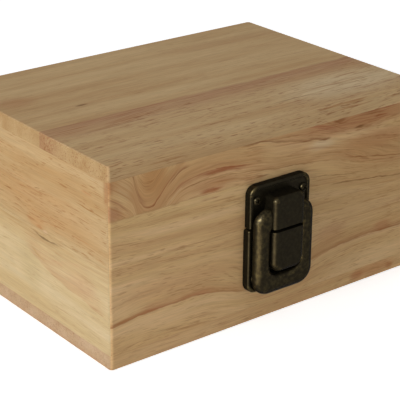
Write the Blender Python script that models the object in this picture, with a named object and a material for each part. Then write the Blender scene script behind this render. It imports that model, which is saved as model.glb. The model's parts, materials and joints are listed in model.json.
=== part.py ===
"""Wooden keepsake box with a hinged lid and a bronze flip-ring latch.

Metres, +Z up. The origin is the centre of the underside, the latch is on the -Y side and the hinges
are on the +Y side. The box is drawn shut, with the latch ring hanging down round its keeper.
"""

import math

import bmesh
import bpy
from mathutils import Matrix, Vector

# Box body
BOX_WIDTH = 0.200
BOX_DEPTH = 0.142
BASE_HEIGHT = 0.0525
LID_HEIGHT = 0.0515
WALL = 0.008
BOTTOM_THICK = 0.0078
TOP_THICK = 0.008
FRONT_STRIP_WIDTH = 0.0526
MIDDLE_STRIP_WIDTH = 0.0267
CORNER_RADIUS = 0.002
EDGE_EASE = 0.0008

# Clearances between pieces
FIT_GAP = 0.0003
SEAM_GAP = 0.0003
KNUCKLE_GAP = 0.0003

# Butt hinges on the back
HINGE_INSET = 0.042
HINGE_WIDTH = 0.022
LEAF_HEIGHT = 0.011
LEAF_THICK = 0.0007
LEAF_ROLL = 300
PIN_RADIUS = 0.001
PIN_OVERHANG = 0.0004
LEAF_SCREW_SPACING = 0.013
LEAF_SCREW_DROP = 0.0068

# Latch plates on the front
UPPER_PLATE_WIDTH = 0.0388
UPPER_PLATE_HEIGHT = 0.0223
LOWER_PLATE_WIDTH = 0.0402
LOWER_PLATE_HEIGHT = 0.0346
PLATE_THICK = 0.0040
PLATE_CORNER = 0.0052
PLATE_SEAM_CORNER = 0.0012
PLATE_EDGE_ROUND = 0.0010
RIM_WIDTH = 0.0020
FIELD_DEPTH = 0.0008
FIELD_CORNER = 0.0028
PLATE_SCREW_SIDE = 0.0044
PLATE_SCREW_END = 0.0077

# Ring, and the hood and keeper inside it
RING_WIDTH = 0.0372
RING_BAND = 0.0085
RING_FOOT_BAND = 0.0095
RING_LENGTH = 0.0443
RING_DEPTH = 0.0054
RING_TOP_CORNER = 0.0115
RING_FOOT_CORNER = 0.0090
RING_INNER_CORNER = 0.0055
RING_BACK_ROUND = 0.0012
RING_EDGE_FLAT = 0.0003
RING_CROWN = 0.46
RING_AXIS_RISE = 0.0085
ROD_RADIUS = 0.0019
ROD_CLEARANCE = 0.00035
ROD_SEAT = 0.0008
HOOD_WALL = 0.00225
HOOD_TOP_RISE = 0.0162
HOOD_CORNER = 0.0028
KEEPER_DROP = 0.0015
KEEPER_HEIGHT = 0.0220
KEEPER_CORNER = 0.0055
BLOCK_EDGE_ROUND = 0.0018

# Wood screws
SCREW_SHANK_RADIUS = 0.0008
SCREW_TIP = 0.0016
HINGE_HEAD_RADIUS = 0.0017
LATCH_HEAD_RADIUS = 0.0020
SCREW_HEAD_HEIGHT = 0.0006
UPPER_HEAD_HEIGHT = 0.0013
WOOD_BEHIND_SCREW = 0.0015

# Facets of round shapes
CORNER_STEPS = 4
RING_CORNER_STEPS = 7
RING_ROUND_STEPS = 5
ROUND_STEPS = 3
KNUCKLE_STEPS = 18
TURNED_STEPS = 16
SHARP_ANGLE = math.radians(40)

SEAM_Z = BASE_HEIGHT
TOP_Z = BASE_HEIGHT + LID_HEIGHT
FRONT_Y = -BOX_DEPTH / 2
BACK_Y = BOX_DEPTH / 2

KNUCKLE_BORE = PIN_RADIUS + FIT_GAP
KNUCKLE_RADIUS = KNUCKLE_BORE + LEAF_THICK
LEAF_BACK_Y = BACK_Y + FIT_GAP
LID_AXIS = Vector((0, LEAF_BACK_Y + KNUCKLE_RADIUS, SEAM_Z))

# Distances proud of the wood, with the plates seated one fit gap off it
PLATE_BACK = FIT_GAP
PLATE_FRONT = PLATE_BACK + PLATE_THICK
FIELD_FRONT = PLATE_FRONT - FIELD_DEPTH
HEAD_FRONT = FIELD_FRONT + FIT_GAP + SCREW_HEAD_HEIGHT
RING_BACK = max(PLATE_FRONT, HEAD_FRONT) + FIT_GAP
RING_AXIS_OUT = RING_BACK + RING_DEPTH / 2
BORE_RADIUS = ROD_RADIUS + ROD_CLEARANCE
BLOCK_FRONT = RING_AXIS_OUT + BORE_RADIUS + HOOD_WALL
BLOCK_ROOT = (PLATE_BACK + FIELD_FRONT) / 2
RING_AXIS = Vector((0, FRONT_Y - RING_AXIS_OUT, SEAM_Z + RING_AXIS_RISE))
RING_OPENING = RING_WIDTH - 2 * RING_BAND
RING_FRONT_ROUND = min(RING_DEPTH - RING_BACK_ROUND - RING_EDGE_FLAT, RING_CROWN * RING_BAND)
BLOCK_WIDTH = RING_OPENING - 2 * FIT_GAP


def material(name, color, roughness, metallic):
    made = bpy.data.materials.new(name)
    made.use_nodes = True
    shader = made.node_tree.nodes["Principled BSDF"]
    shader.inputs["Base Color"].default_value = (*color, 1)
    shader.inputs["Roughness"].default_value = roughness
    shader.inputs["Metallic"].default_value = metallic
    return made


def add_object(name, bm, location=(0, 0, 0), turn=None):
    """Object from a closed bmesh, with its faces out and its round parts smooth."""
    bmesh.ops.recalc_face_normals(bm, faces=bm.faces[:])
    mesh = bpy.data.meshes.new(name)
    bm.to_mesh(mesh)
    bm.free()
    mesh.shade_smooth()
    mesh.set_sharp_from_angle(angle=SHARP_ANGLE)
    return add_copy(name, mesh, location, turn)


def add_copy(name, mesh, location, turn=None):
    obj = bpy.data.objects.new(name, mesh)
    bpy.context.scene.collection.objects.link(obj)
    obj.location = location
    if turn:
        obj.rotation_euler = turn
    return obj


def finish(obj, finish_material, parent):
    """Gives a piece its material and hangs it on its body's empty without moving it."""
    if not obj.data.materials:
        obj.data.materials.append(finish_material)
    obj.parent = parent
    obj.location -= place_of(parent)
    return obj


def place_of(empty):
    place = Vector((0, 0, 0))
    while empty:
        place += empty.location
        empty = empty.parent
    return place


def helper(obj):
    """Marks a cutter, or a shape that is joined into another."""
    obj.hide_render = True
    obj.display_type = "WIRE"
    return obj


def boolean(obj, other, operation):
    modifier = obj.modifiers.new(operation.lower() + "_" + other.name, "BOOLEAN")
    modifier.operation = operation
    modifier.object = other
    modifier.solver = "EXACT"


def arc(center_u, center_v, radius, start, end, steps):
    """Points on an arc, angles in degrees."""
    angles = [math.radians(start + (end - start) * i / steps) for i in range(steps + 1)]
    return [(center_u + radius * math.cos(a), center_v + radius * math.sin(a)) for a in angles]


def circle(radius, steps):
    return arc(0, 0, radius, 0, 360, steps)[:-1]


def rounded_rectangle(low_u, high_u, low_v, high_v, radii, steps=CORNER_STEPS):
    """Outline with its own radius at the low-low, high-low, high-high and low-high corner. 0 is square."""
    corners = [(low_u, low_v, 1, 1, 180), (high_u, low_v, -1, 1, 270),
               (high_u, high_v, -1, -1, 0), (low_u, high_v, 1, -1, 90)]
    outline = []
    for (u, v, inward_u, inward_v, start), radius in zip(corners, radii):
        if radius:
            center = (u + inward_u * radius, v + inward_v * radius)
            outline += arc(*center, radius, start, start + 90, steps)
        else:
            outline.append((u, v))
    return outline


def prism(outline, axis, start, end):
    """Closed solid with a flat outline, along X (outline in YZ), Y (outline in XZ) or Z (outline in XY)."""
    place = {
        "X": lambda u, v: (start, u, v),
        "Y": lambda u, v: (u, start, v),
        "Z": lambda u, v: (u, v, start),
    }[axis]
    step = {"X": (end - start, 0, 0), "Y": (0, end - start, 0), "Z": (0, 0, end - start)}[axis]
    bm = bmesh.new()
    face = bm.faces.new([bm.verts.new(place(u, v)) for u, v in outline])
    grown = bmesh.ops.extrude_face_region(bm, geom=[face])
    moved = [item for item in grown["geom"] if isinstance(item, bmesh.types.BMVert)]
    bmesh.ops.translate(bm, verts=moved, vec=step)
    bmesh.ops.recalc_face_normals(bm, faces=bm.faces[:])
    return bm


def ease(bm, wanted, width, segments=2):
    """Rounds the edges for which wanted(edge) is true."""
    edges = [edge for edge in bm.edges if wanted(edge)]
    bmesh.ops.bevel(bm, geom=edges, offset=width, segments=segments, profile=0.5, affect="EDGES")


def lies_at(edge, axis, value):
    return all(abs(vert.co[axis] - value) < 1e-6 for vert in edge.verts)


def turned(profile):
    """Solid turned round Z from (radius, height) points, the first and last on the axis."""
    bm = bmesh.new()
    verts = [bm.verts.new((radius, 0, height)) for radius, height in profile]
    edges = [bm.edges.new(pair) for pair in zip(verts, verts[1:])]
    bmesh.ops.spin(bm, geom=verts + edges, cent=(0, 0, 0), axis=(0, 0, 1),
                   angle=2 * math.pi, steps=TURNED_STEPS, use_merge=True)
    bmesh.ops.remove_doubles(bm, verts=bm.verts[:], dist=1e-6)
    return bm


def drill(name, points, radius, start_y, end_y):
    """Cutter made of one cylinder along Y at each (x, z) point."""
    bm = bmesh.new()
    for x, z in points:
        middle = Matrix.Translation((x, (start_y + end_y) / 2, z)) @ Matrix.Rotation(math.pi / 2, 4, "X")
        bmesh.ops.create_cone(bm, cap_ends=True, segments=TURNED_STEPS, radius1=radius, radius2=radius,
                              depth=abs(end_y - start_y), matrix=middle)
    return helper(add_object(name, bm))


def mitred_outline(length):
    """Plan of a wall board: outer face on v = 0, ends cut at 45 degrees with half a fit gap each."""
    half_gap = FIT_GAP / 2
    swing = math.degrees(math.asin(half_gap / CORNER_RADIUS))
    center_u = length / 2 - CORNER_RADIUS
    right_end = arc(center_u, CORNER_RADIUS, CORNER_RADIUS, -90, -45 - swing, CORNER_STEPS)
    right_end.append((length / 2 - WALL - half_gap * math.sqrt(2), WALL))
    return right_end + [(-u, v) for u, v in reversed(right_end)]


def wall_boards(body, low_z, high_z):
    """The four mitred boards of one half of the box."""
    sides = {
        "front": (BOX_WIDTH, (0, FRONT_Y), 0),
        "right": (BOX_DEPTH, (BOX_WIDTH / 2, 0), math.pi / 2),
        "back": (BOX_WIDTH, (0, BACK_Y), math.pi),
        "left": (BOX_DEPTH, (-BOX_WIDTH / 2, 0), -math.pi / 2),
    }
    boards = {}
    for side, (length, (x, y), turn) in sides.items():
        board = prism(mitred_outline(length), "Z", 0, high_z - low_z)
        boards[side] = add_object(f"{body}_{side}_board", board, (x, y, low_z), (0, 0, turn))
    return boards


def panel(name, low_y, high_y, low_z, high_z, eased_z, outer_front, outer_back):
    """Flat board across the whole width, with its outer corners rounded and its outer arris eased."""
    front_radius = CORNER_RADIUS if outer_front else 0
    back_radius = CORNER_RADIUS if outer_back else 0
    outline = rounded_rectangle(-BOX_WIDTH / 2, BOX_WIDTH / 2, low_y, high_y,
                                (front_radius, front_radius, back_radius, back_radius))
    bm = prism(outline, "Z", low_z, high_z)

    def outer_arris(edge):
        glued_front = not outer_front and lies_at(edge, 1, low_y)
        glued_back = not outer_back and lies_at(edge, 1, high_y)
        return lies_at(edge, 2, eased_z) and not glued_front and not glued_back

    ease(bm, outer_arris, EDGE_EASE)
    return add_object(name, bm)


def box_boards(base, lid, light_wood, dark_wood):
    """Walls, bottom panel and the three glued strips of the top. Returns the boards that take screws."""
    base_walls = wall_boards("base", BOTTOM_THICK + FIT_GAP, SEAM_Z - SEAM_GAP / 2)
    lid_walls = wall_boards("lid", SEAM_Z + SEAM_GAP / 2, TOP_Z - TOP_THICK - FIT_GAP)
    for walls, parent in ((base_walls, base), (lid_walls, lid)):
        for side, board in walls.items():
            finish(board, light_wood if side in ("left", "right") else dark_wood, parent)

    bottom = panel("bottom_panel", FRONT_Y, BACK_Y, 0, BOTTOM_THICK, 0, True, True)
    finish(bottom, dark_wood, base)

    first_joint = FRONT_Y + FRONT_STRIP_WIDTH
    second_joint = first_joint + MIDDLE_STRIP_WIDTH
    strips = {
        "top_front_strip": (FRONT_Y, first_joint - FIT_GAP / 2, True, False),
        "top_middle_strip": (first_joint + FIT_GAP / 2, second_joint - FIT_GAP / 2, False, False),
        "top_back_strip": (second_joint + FIT_GAP / 2, BACK_Y, False, True),
    }
    for name, (low_y, high_y, outer_front, outer_back) in strips.items():
        strip = panel(name, low_y, high_y, TOP_Z - TOP_THICK, TOP_Z, TOP_Z, outer_front, outer_back)
        finish(strip, dark_wood, lid)
    return base_walls, lid_walls


def rolled_leaf_outline(side):
    """Section of a leaf in YZ about its pin: a strip on the wood, rolled up. side is -1 on the base."""
    roll = [180, 180 + side * LEAF_ROLL]
    outer = arc(0, 0, KNUCKLE_RADIUS, *roll, KNUCKLE_STEPS)
    inner = arc(0, 0, KNUCKLE_BORE, *roll, KNUCKLE_STEPS)
    strip_end = side * LEAF_HEIGHT
    return [(-KNUCKLE_RADIUS, strip_end)] + outer + inner[::-1] + [(-KNUCKLE_BORE, strip_end)]


def hinge_leaf(name, center_x, side):
    """One leaf, with knuckles only where the other leaf has none. side is -1 on the base."""
    start, end = center_x - HINGE_WIDTH / 2, center_x + HINGE_WIDTH / 2
    leaf = add_object(name, prism(rolled_leaf_outline(side), "X", start - LID_AXIS.x, end - LID_AXIS.x),
                      LID_AXIS)
    third = HINGE_WIDTH / 3
    outside = HINGE_WIDTH
    if side < 0:
        notches = [(center_x - third / 2 - KNUCKLE_GAP / 2, center_x + third / 2 + KNUCKLE_GAP / 2)]
    else:
        notches = [(start - outside, center_x - third / 2 + KNUCKLE_GAP / 2),
                   (center_x + third / 2 - KNUCKLE_GAP / 2, end + outside)]
    clear = KNUCKLE_RADIUS + KNUCKLE_GAP
    for i, (low_x, high_x) in enumerate(notches):
        low_z, high_z = sorted((LID_AXIS.z + side * clear, LID_AXIS.z - side * 2 * clear))
        reach = 2 * KNUCKLE_RADIUS
        box = rounded_rectangle(low_x, high_x, LID_AXIS.y - reach, LID_AXIS.y + reach, (0, 0, 0, 0))
        cutter = helper(add_object(f"{name}_notch_{i + 1}", prism(box, "Z", low_z, high_z)))
        boolean(leaf, cutter, "DIFFERENCE")
    return leaf


def screw_mesh(name, head_radius, head_height, shank_length):
    """Domed wood screw along Z, its head's seat at 0 and its point below."""
    dome = [(head_radius * math.cos(a), head_height * math.sin(a))
            for a in (math.radians(90 * i / ROUND_STEPS) for i in range(ROUND_STEPS))]
    profile = [(0, -shank_length), (SCREW_SHANK_RADIUS, SCREW_TIP - shank_length),
               (SCREW_SHANK_RADIUS, 0)] + dome + [(0, head_height)]
    return add_object(name, turned(profile))


def screw_row(name, points, pattern, seat_y, out, metal, parent):
    """Copies of one screw, numbered, with their heads facing out = -1 (front) or 1 (back)."""
    turn = (-out * math.pi / 2, 0, 0)
    for i, (x, z) in enumerate(points):
        screw = add_copy(f"{name}_{i + 1}", pattern.data, (x, seat_y, z), turn)
        finish(screw, metal, parent)


def hinge(name, center_x, base, lid, base_board, lid_board, bronze, pattern):
    """Base leaf, lid leaf, pin and four screws."""
    pilot_radius = SCREW_SHANK_RADIUS + FIT_GAP
    head_seat = LEAF_BACK_Y + LEAF_THICK + FIT_GAP
    hole_end = BACK_Y - WALL + WOOD_BEHIND_SCREW
    for side, parent, board, half in ((-1, base, base_board, "base"), (1, lid, lid_board, "lid")):
        leaf = hinge_leaf(f"{name}_{half}_leaf", center_x, side)
        points = [(center_x + shift * LEAF_SCREW_SPACING / 2, SEAM_Z + side * LEAF_SCREW_DROP)
                  for shift in (-1, 1)]
        holes = drill(f"{name}_{half}_holes", points, pilot_radius, hole_end, head_seat + LEAF_THICK)
        boolean(leaf, holes, "DIFFERENCE")
        boolean(board, holes, "DIFFERENCE")
        finish(leaf, bronze, parent)
        screw_row(f"{name}_{half}_screw", points, pattern, head_seat, 1, bronze, parent)

    pin_half = HINGE_WIDTH / 2 + PIN_OVERHANG
    pin = prism(circle(PIN_RADIUS, TURNED_STEPS), "X", -pin_half, pin_half)
    ease(pin, lambda edge: lies_at(edge, 0, pin_half) or lies_at(edge, 0, -pin_half), PIN_OVERHANG / 2, 1)
    finish(add_object(f"{name}_pin", pin, (center_x, LID_AXIS.y, LID_AXIS.z)), bronze, base)


def latch_plate(name, width, low_z, high_z, radii):
    """Cast plate with rounded front edges and a sunk field with sloping sides inside a rim."""
    front = FRONT_Y - PLATE_FRONT
    outline = rounded_rectangle(-width / 2, width / 2, low_z, high_z, radii)
    bm = prism(outline, "Y", FRONT_Y - PLATE_BACK, front)
    ease(bm, lambda edge: lies_at(edge, 1, front), PLATE_EDGE_ROUND)
    plate = add_object(name, bm)

    floor = FRONT_Y - FIELD_FRONT
    field = rounded_rectangle(-width / 2 + RIM_WIDTH, width / 2 - RIM_WIDTH,
                              low_z + RIM_WIDTH, high_z - RIM_WIDTH, [FIELD_CORNER] * 4)
    cutter = prism(field, "Y", floor, front - PLATE_THICK)
    ease(cutter, lambda edge: lies_at(edge, 1, floor), FIELD_DEPTH / 2, 1)
    boolean(plate, helper(add_object(name + "_field", cutter)), "DIFFERENCE")
    return plate


def block(name, low_z, high_z, radii):
    """Raised block of a latch plate, from inside the plate to its own front."""
    front = FRONT_Y - BLOCK_FRONT
    outline = rounded_rectangle(-BLOCK_WIDTH / 2, BLOCK_WIDTH / 2, low_z, high_z, radii)
    bm = prism(outline, "Y", FRONT_Y - BLOCK_ROOT, front)
    ease(bm, lambda edge: lies_at(edge, 1, front), BLOCK_EDGE_ROUND)
    return helper(add_object(name, bm))


def fixed_latch_half(name, plate, raised, screw_z, width, board, metal, parent, pattern):
    """Joins the raised block to its plate, drills both screw holes and adds the screws."""
    boolean(plate, raised, "UNION")
    points = [(side * (width / 2 - PLATE_SCREW_SIDE), screw_z) for side in (-1, 1)]
    holes = drill(f"{name}_holes", points, SCREW_SHANK_RADIUS + FIT_GAP,
                  FRONT_Y + WALL - WOOD_BEHIND_SCREW, FRONT_Y - PLATE_FRONT - PLATE_THICK)
    boolean(plate, holes, "DIFFERENCE")
    boolean(board, holes, "DIFFERENCE")
    finish(plate, metal, parent)
    head_seat = FRONT_Y - FIELD_FRONT - FIT_GAP
    screw_row(f"{name}_screw", points, pattern, head_seat, -1, metal, parent)


def latch_plates(base, lid, base_board, lid_board, bronze, upper_screw, lower_screw):
    """Upper plate with the hood that holds the ring, and lower plate with the keeper."""
    low_z = SEAM_Z + SEAM_GAP / 2
    high_z = low_z + UPPER_PLATE_HEIGHT
    corner, seam_corner = PLATE_CORNER, PLATE_SEAM_CORNER
    upper = latch_plate("latch_upper_plate", UPPER_PLATE_WIDTH, low_z, high_z,
                        (seam_corner, seam_corner, corner, corner))
    hood = block("latch_hood", low_z, SEAM_Z + HOOD_TOP_RISE, (0, 0, HOOD_CORNER, HOOD_CORNER))
    fixed_latch_half("latch_upper", upper, hood, high_z - PLATE_SCREW_END, UPPER_PLATE_WIDTH,
                     lid_board, bronze, lid, upper_screw)
    bore_half = RING_WIDTH / 2
    bore = prism(circle(BORE_RADIUS, KNUCKLE_STEPS), "X", -bore_half, bore_half)
    boolean(upper, helper(add_object("latch_hood_bore", bore, RING_AXIS)), "DIFFERENCE")

    high_z = SEAM_Z - SEAM_GAP / 2
    low_z = high_z - LOWER_PLATE_HEIGHT
    lower = latch_plate("latch_lower_plate", LOWER_PLATE_WIDTH, low_z, high_z,
                        (corner, corner, seam_corner, seam_corner))
    keeper_top = SEAM_Z - KEEPER_DROP
    keeper = block("latch_keeper", keeper_top - KEEPER_HEIGHT, keeper_top,
                   (KEEPER_CORNER, KEEPER_CORNER, 0, 0))
    fixed_latch_half("latch_lower", lower, keeper, low_z + PLATE_SCREW_END, LOWER_PLATE_WIDTH,
                     base_board, bronze, base, lower_screw)


def band_section(width):
    """Section of the ring's band, full in front and flatter behind: (distance in from its edge, y)."""
    back, front = RING_BACK_ROUND, RING_FRONT_ROUND
    back_y, front_y = RING_DEPTH / 2 - back, front - RING_DEPTH / 2
    outer_edge = arc(back, back_y, back, 90, 180, RING_ROUND_STEPS)
    outer_edge += arc(front, front_y, front, 180, 270, RING_ROUND_STEPS)
    inner_edge = arc(width - front, front_y, front, -90, 0, RING_ROUND_STEPS)
    inner_edge += arc(width - back, back_y, back, 0, 90, RING_ROUND_STEPS)
    return outer_edge + inner_edge


def ring_band():
    """Closed band of the ring about its axis: outer and inner rounded outlines, lofted with one section."""
    half, inner_half = RING_WIDTH / 2, RING_OPENING / 2
    top, foot = RING_DEPTH / 2, -RING_LENGTH
    outer_corners = (RING_FOOT_CORNER, RING_FOOT_CORNER, RING_TOP_CORNER, RING_TOP_CORNER)
    outer = rounded_rectangle(-half, half, foot, top, outer_corners, RING_CORNER_STEPS)
    inner = rounded_rectangle(-inner_half, inner_half, foot + RING_FOOT_BAND, top - RING_BAND,
                              [RING_INNER_CORNER] * 4, RING_CORNER_STEPS)
    bm = bmesh.new()
    rows = []
    for outer_point, inner_point in zip(outer, inner):
        across = Vector(inner_point) - Vector(outer_point)
        width = across.length
        row = []
        for inward, y in band_section(width):
            x, z = Vector(outer_point) + across * (inward / width)
            row.append(bm.verts.new((x, y, z)))
        rows.append(row)
    for row, next_row in zip(rows, rows[1:] + rows[:1]):
        for i in range(len(row)):
            j = (i + 1) % len(row)
            bm.faces.new((row[i], row[j], next_row[j], next_row[i]))
    return bm


def latch_ring(parent, bronze):
    """Ring whose top bar is cut away for the hood and bridged by a round rod that turns in it."""
    ring = add_object("latch_ring", ring_band(), RING_AXIS)

    cut_half = RING_OPENING / 2 - FIT_GAP / 10
    cut_low = RING_DEPTH / 2 - RING_BAND - RING_INNER_CORNER - FIT_GAP
    gap = rounded_rectangle(-cut_half, cut_half, -RING_DEPTH, RING_DEPTH, (0, 0, 0, 0))
    boolean(ring, helper(add_object("ring_hood_gap", prism(gap, "Z", cut_low, RING_DEPTH), RING_AXIS)),
            "DIFFERENCE")

    rod_half = cut_half + ROD_SEAT
    rod = prism(circle(ROD_RADIUS, KNUCKLE_STEPS), "X", -rod_half, rod_half)
    boolean(ring, helper(add_object("ring_rod", rod, RING_AXIS)), "UNION")
    finish(ring, bronze, parent)


def empty(name, place, parent=None):
    made = bpy.data.objects.new(name, None)
    bpy.context.scene.collection.objects.link(made)
    made.empty_display_size = BASE_HEIGHT / 4
    made.parent = parent
    made.location = place - place_of(parent)
    return made


def main():
    for obj in list(bpy.data.objects):
        bpy.data.objects.remove(obj)

    light_wood = material("pale wood", (0.56, 0.40, 0.22), 0.6, 0.0)
    dark_wood = material("tan wood", (0.38, 0.25, 0.14), 0.6, 0.0)
    bronze = material("antique bronze", (0.055, 0.045, 0.028), 0.4, 1.0)

    base = empty("base", Vector((0, 0, 0)))
    lid = empty("lid_hinge_axis", LID_AXIS, base)
    ring_axis = empty("ring_flip_axis", RING_AXIS, lid)

    base_walls, lid_walls = box_boards(base, lid, light_wood, dark_wood)

    hinge_shank = LEAF_THICK + 2 * FIT_GAP + WALL - WOOD_BEHIND_SCREW - FIT_GAP
    hinge_screw = helper(screw_mesh("hinge_screw_pattern", HINGE_HEAD_RADIUS, SCREW_HEAD_HEIGHT,
                                    hinge_shank))
    for side, sign in (("left", -1), ("right", 1)):
        center_x = sign * (BOX_WIDTH / 2 - HINGE_INSET)
        hinge(f"hinge_{side}", center_x, base, lid, base_walls["back"], lid_walls["back"], bronze,
              hinge_screw)

    latch_shank = FIELD_FRONT + FIT_GAP + WALL - WOOD_BEHIND_SCREW - FIT_GAP
    upper_screw = helper(screw_mesh("upper_screw_pattern", LATCH_HEAD_RADIUS, UPPER_HEAD_HEIGHT,
                                    latch_shank))
    lower_screw = helper(screw_mesh("lower_screw_pattern", LATCH_HEAD_RADIUS, SCREW_HEAD_HEIGHT,
                                    latch_shank))
    latch_plates(base, lid, base_walls["front"], lid_walls["front"], bronze, upper_screw, lower_screw)
    latch_ring(ring_axis, bronze)


main()
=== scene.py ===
import json
import math

import bmesh
import bpy
from mathutils import Matrix, Vector


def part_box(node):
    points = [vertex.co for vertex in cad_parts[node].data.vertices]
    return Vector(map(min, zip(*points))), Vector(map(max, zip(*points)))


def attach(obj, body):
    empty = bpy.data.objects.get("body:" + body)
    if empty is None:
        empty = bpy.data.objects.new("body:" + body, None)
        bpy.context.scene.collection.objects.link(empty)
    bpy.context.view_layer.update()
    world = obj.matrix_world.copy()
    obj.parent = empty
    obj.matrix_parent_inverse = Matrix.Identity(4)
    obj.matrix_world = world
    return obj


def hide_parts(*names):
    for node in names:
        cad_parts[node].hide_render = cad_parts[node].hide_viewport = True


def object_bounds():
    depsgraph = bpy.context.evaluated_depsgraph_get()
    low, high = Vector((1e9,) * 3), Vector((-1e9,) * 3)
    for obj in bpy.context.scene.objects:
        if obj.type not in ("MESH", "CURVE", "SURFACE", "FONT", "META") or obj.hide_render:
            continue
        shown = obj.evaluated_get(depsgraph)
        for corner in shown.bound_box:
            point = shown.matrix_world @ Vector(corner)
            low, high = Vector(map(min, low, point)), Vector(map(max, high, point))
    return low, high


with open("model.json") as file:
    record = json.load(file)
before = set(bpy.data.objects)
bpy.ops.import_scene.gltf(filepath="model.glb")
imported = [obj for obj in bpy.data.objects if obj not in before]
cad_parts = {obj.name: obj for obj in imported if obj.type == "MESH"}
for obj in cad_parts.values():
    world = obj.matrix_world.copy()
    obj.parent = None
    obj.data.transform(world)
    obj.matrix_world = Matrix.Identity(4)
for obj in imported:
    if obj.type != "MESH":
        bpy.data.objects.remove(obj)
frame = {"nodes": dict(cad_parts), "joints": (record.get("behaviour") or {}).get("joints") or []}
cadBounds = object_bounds()
print("frame loaded:", len(frame["nodes"]), "nodes")

mm = 0.001
touch = 0.004 * mm      # two places closer than this are the same place
smoothAngle = 32        # degrees, an edge that bends less is shaded smooth
xAxis, yAxis, zAxis = 0, 1, 2


# Selecting and shaping, as by hand

def inPlane(part, axis, place):
    return all(abs(vert.co[axis] - place) < touch for vert in part.verts)


def runsAlong(edge, axis):
    step = edge.verts[1].co - edge.verts[0].co
    return abs(step[axis]) > 0.999 * step.length


def pick(piece, kind, wanted):
    # Enters edit mode and selects only the faces or edges that wanted() accepts
    bpy.context.view_layer.objects.active = piece
    bpy.ops.object.mode_set(mode="EDIT")
    bpy.ops.mesh.select_mode(type=kind)
    bpy.ops.mesh.select_all(action="DESELECT")
    mesh = bmesh.from_edit_mesh(piece.data)
    for part in list(mesh.faces if kind == "FACE" else mesh.edges):
        if wanted(part):
            part.select_set(True)
    bmesh.update_edit_mesh(piece.data)


def leaveEditMode():
    bpy.ops.object.mode_set(mode="OBJECT")


def roundEdges(piece, wanted, radius, segments):
    pick(piece, "EDGE", wanted)
    bpy.ops.mesh.bevel(offset=radius, segments=segments, profile=0.5, affect="EDGES", clamp_overlap=False,
                       loop_slide=False)
    leaveEditMode()


def settle(name):
    # Names the primitive that was just added and puts its place into its mesh
    piece = bpy.context.object
    piece.name = name
    piece.data.name = name
    bpy.ops.object.transform_apply(location=True, rotation=True, scale=True)
    return piece


def addCube(name, low, high):
    bpy.ops.object.select_all(action="DESELECT")
    low, high = Vector(low), Vector(high)
    bpy.ops.mesh.primitive_cube_add(size=1, location=(low + high) / 2, scale=high - low)
    return settle(name)


def addRod(name, start, end, radius, sides):
    # Cylinder between two points
    bpy.ops.object.select_all(action="DESELECT")
    start, end = Vector(start), Vector(end)
    turn = (end - start).to_track_quat("Z", "Y").to_euler()
    bpy.ops.mesh.primitive_cylinder_add(vertices=sides, radius=radius, depth=(end - start).length,
                                        location=(start + end) / 2, rotation=turn)
    return settle(name)


def cutOrJoin(piece, tool, operation):
    # Boolean with a second mesh, applied, and the second mesh thrown away
    bpy.ops.object.select_all(action="DESELECT")
    bpy.context.view_layer.objects.active = piece
    modifier = piece.modifiers.new("cutOrJoin", "BOOLEAN")
    modifier.operation = operation
    modifier.solver = "EXACT"
    modifier.object = tool
    bpy.ops.object.modifier_apply(modifier=modifier.name)
    bpy.data.objects.remove(tool)


def shade(piece):
    # Smooth over the rounded edges, with the large faces kept flat
    bpy.ops.object.select_all(action="DESELECT")
    piece.select_set(True)
    bpy.context.view_layer.objects.active = piece
    bpy.ops.object.shade_smooth_by_angle(angle=math.radians(smoothAngle))
    modifier = piece.modifiers.new("flatFaces", "WEIGHTED_NORMAL")
    modifier.keep_sharp = True
    modifier.weight = 80
    bpy.ops.object.modifier_apply(modifier=modifier.name)


def fit(piece, body, node, material):
    # A finished piece takes its CAD node's place
    piece.data.materials.clear()
    piece.data.materials.append(material)
    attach(piece, body)
    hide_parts(node)


# Materials

def hexColour(code):
    # sRGB hex to the linear values that a socket takes
    linear = []
    for i in (0, 2, 4):
        value = int(code[i:i + 2], 16) / 255
        linear.append(value / 12.92 if value <= 0.04045 else ((value + 0.055) / 1.055) ** 2.4)
    return (*linear, 1)


def addNode(tree, kind, settings, *values, **named):
    # Adds a node, sets it up and feeds its inputs in their order, or by name.
    # A node that is given as a value stands for its first output
    node = tree.nodes.new("ShaderNode" + kind)
    for key, setting in settings.items():
        setattr(node, key, setting)
    feeds = list(zip([socket for socket in node.inputs if socket.enabled], values))
    feeds += [(node.inputs[key], value) for key, value in named.items()]
    for socket, value in feeds:
        if isinstance(value, bpy.types.Node):
            value = next(output for output in value.outputs if output.enabled)
        if isinstance(value, bpy.types.NodeSocket):
            tree.links.new(value, socket)
        else:
            socket.default_value = value
    return node


# Settings that many nodes share
subtract, multiply = {"operation": "SUBTRACT"}, {"operation": "MULTIPLY"}
multiplyAdd, largest, length = {"operation": "MULTIPLY_ADD"}, {"operation": "MAXIMUM"}, {"operation": "LENGTH"}
smooth = {"interpolation_type": "SMOOTHSTEP"}
paint, tint = {"data_type": "RGBA"}, {"data_type": "RGBA", "blend_type": "MULTIPLY"}


def newMaterial(name, roughness, metallic=0.0):
    material = bpy.data.materials.new(name)
    material.use_nodes = True
    shader = material.node_tree.nodes["Principled BSDF"]
    shader.inputs["Roughness"].default_value = roughness
    shader.inputs["Metallic"].default_value = metallic
    return material, material.node_tree, shader


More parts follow.
